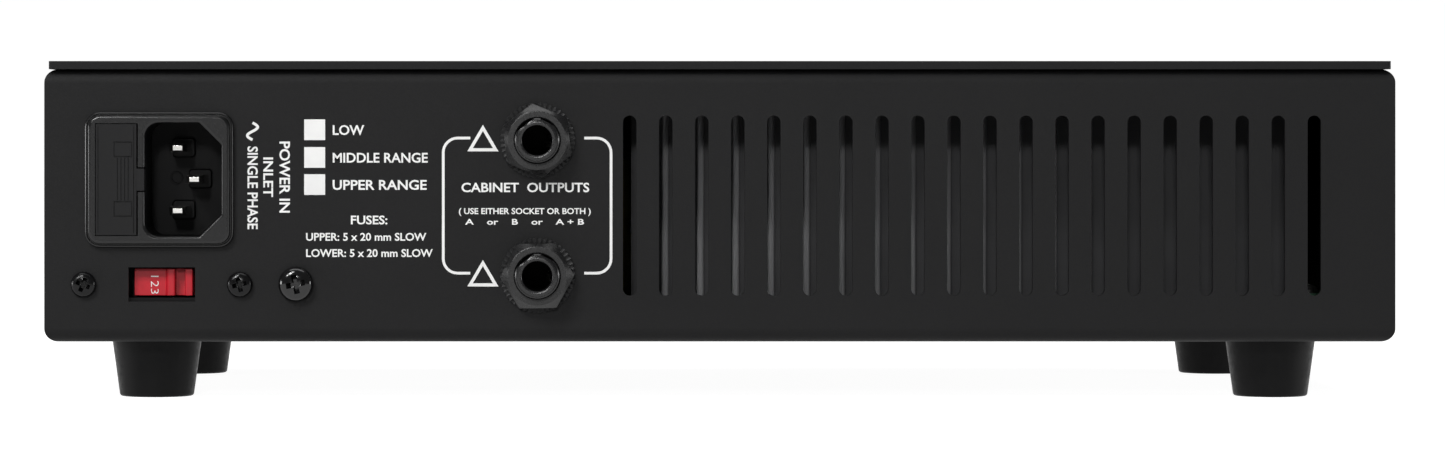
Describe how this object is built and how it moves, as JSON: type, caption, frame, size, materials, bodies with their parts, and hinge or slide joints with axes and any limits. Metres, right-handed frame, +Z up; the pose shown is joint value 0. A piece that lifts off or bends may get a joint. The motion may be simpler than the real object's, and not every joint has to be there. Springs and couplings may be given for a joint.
{
  "type": "guitar amp head",
  "caption": "Low black steel amplifier head with slotted rear panel, fused mains inlet, voltage selector, jack outputs, front knobs and tapered rubber feet.",
  "frame": {"origin": "on the surface that the feet stand on, under the middle of the whole object's box", "axes": "+Z up, +Y towards the rear panel, +X towards the mains inlet's end; the controls face -Y"},
  "size_m": [0.3, 0.172, 0.0754],
  "materials": {
    "black_steel": "fine textured matt black powder coat",
    "lid_steel": "fine textured matt black powder coat",
    "black_screws": "black oxide, slightly glossy",
    "zinc_fasteners": "bright zinc plate",
    "foot_rubber": "matt moulded rubber",
    "inlet_plastic": "fine spark-eroded black plastic",
    "drawer_plastic": "fine spark-eroded black plastic",
    "plated_pins": "nickel plate",
    "fuse_glass": "clear glass tube",
    "fuse_metal": "nickel plated brass caps",
    "selector_plastic": "black plastic",
    "slider_red": "red plastic with white numbers",
    "jack_plastic": "satin black plastic",
    "jack_washer_steel": "black serrated spring steel",
    "contact_metal": "nickel silver spring strip",
    "fascia_aluminium": "black brushed and anodised, white print",
    "knob_plastic": "fluted black moulding with a white pointer",
    "pot_metal": "zinc plated body",
    "shaft_metal": "turned aluminium",
    "switch_metal": "bright nickel plate",
    "switch_body": "black plastic body and steel bushing",
    "lamp_chrome": "bright nickel plate",
    "lamp_jewel": "red faceted jewel",
    "core_tape": "yellow polyester tape over windings",
    "pad_rubber": "soft rubber sheet",
    "board_green": "green solder mask",
    "sink_aluminium": "dark anodised extrusion",
    "package_plastic": "black moulded packages",
    "capacitor_sleeve": "black shrink sleeve",
    "relay_plastic": "blue plastic case",
    "wire_sleeve": "black sleeving",
    "ribbon_grey": "grey ribbon cable"
  },
  "bodies": {
    "chassis": {"chassis_shell": "black_steel", "lid_plate": "lid_steel", "lid_screws": "black_screws", "lid_clinch_nuts": "zinc_fasteners", "foot_rear_left": "foot_rubber", "foot_rear_right": "foot_rubber", "foot_front_left": "foot_rubber", "foot_front_right": "foot_rubber", "foot_screws": "zinc_fasteners", "m4_nuts": "zinc_fasteners", "inlet_housing": "inlet_plastic", "inlet_pins": "plated_pins", "selector_housing": "selector_plastic", "selector_screws": "black_screws", "selector_nuts": "zinc_fasteners", "earth_screw": "black_screws", "earth_ring": "plated_pins", "output_jack_low": "jack_plastic", "output_jack_high": "jack_plastic", "input_jack": "jack_plastic", "jack_nuts": "jack_plastic", "jack_washers": "jack_washer_steel", "jack_contacts": "contact_metal", "fascia_plate": "fascia_aluminium", "pot_bodies": "pot_metal", "pot_nuts": "zinc_fasteners", "switch_housing": "switch_body", "switch_nut": "switch_metal", "pilot_bezel": "lamp_chrome", "pilot_lens": "lamp_jewel", "transformer_toroid": "core_tape", "transformer_pads": "pad_rubber", "transformer_plate": "zinc_fasteners", "transformer_bolt": "zinc_fasteners", "main_board": "board_green", "control_board": "board_green", "board_standoffs": "zinc_fasteners", "board_screws": "zinc_fasteners", "reservoir_capacitors": "capacitor_sleeve", "bridge_rectifier": "package_plastic", "board_relay": "relay_plastic", "heat_sink": "sink_aluminium", "sink_spacers": "sink_aluminium", "power_transistors": "package_plastic", "mains_loom": "wire_sleeve", "secondary_loom": "wire_sleeve", "signal_ribbon": "ribbon_grey"},
    "fuse_drawer": {"fuse_drawer": "drawer_plastic", "fuse_glass": "fuse_glass", "fuse_caps": "fuse_metal"},
    "voltage_slider": {"selector_slider": "slider_red"},
    "power_lever": {"switch_lever": "switch_metal"},
    "volume_control": {"knob_volume": "knob_plastic", "shaft_volume": "shaft_metal"},
    "bass_control": {"knob_bass": "knob_plastic", "shaft_bass": "shaft_metal"},
    "middle_control": {"knob_middle": "knob_plastic", "shaft_middle": "shaft_metal"},
    "treble_control": {"knob_treble": "knob_plastic", "shaft_treble": "shaft_metal"}
  },
  "joints": [
    {"name": "fuse_drawer_slide", "type": "slide", "parent": "chassis", "child": "fuse_drawer", "axis": [0, 1, 0], "range_m": [0, 0.021]},
    {"name": "voltage_selector_slide", "type": "slide", "parent": "chassis", "child": "voltage_slider", "axis": [1, 0, 0], "range_m": [0, 0.005]},
    {"name": "power_switch_rock", "type": "hinge", "parent": "chassis", "child": "power_lever", "pos_m": [0.127, -0.067, 0.0433], "axis": [-1, 0, 0], "range_deg": [0, 24]},
    {"name": "volume_turn", "type": "hinge", "parent": "chassis", "child": "volume_control", "pos_m": [-0.098, -0.069, 0.0433], "axis": [0, -1, 0], "range_deg": [-150, 150]},
    {"name": "bass_turn", "type": "hinge", "parent": "chassis", "child": "bass_control", "pos_m": [-0.07, -0.069, 0.0433], "axis": [0, -1, 0], "range_deg": [-150, 150]},
    {"name": "middle_turn", "type": "hinge", "parent": "chassis", "child": "middle_control", "pos_m": [-0.042, -0.069, 0.0433], "axis": [0, -1, 0], "range_deg": [-150, 150]},
    {"name": "treble_turn", "type": "hinge", "parent": "chassis", "child": "treble_control", "pos_m": [-0.014, -0.069, 0.0433], "axis": [0, -1, 0], "range_deg": [-150, 150]}
  ]
}
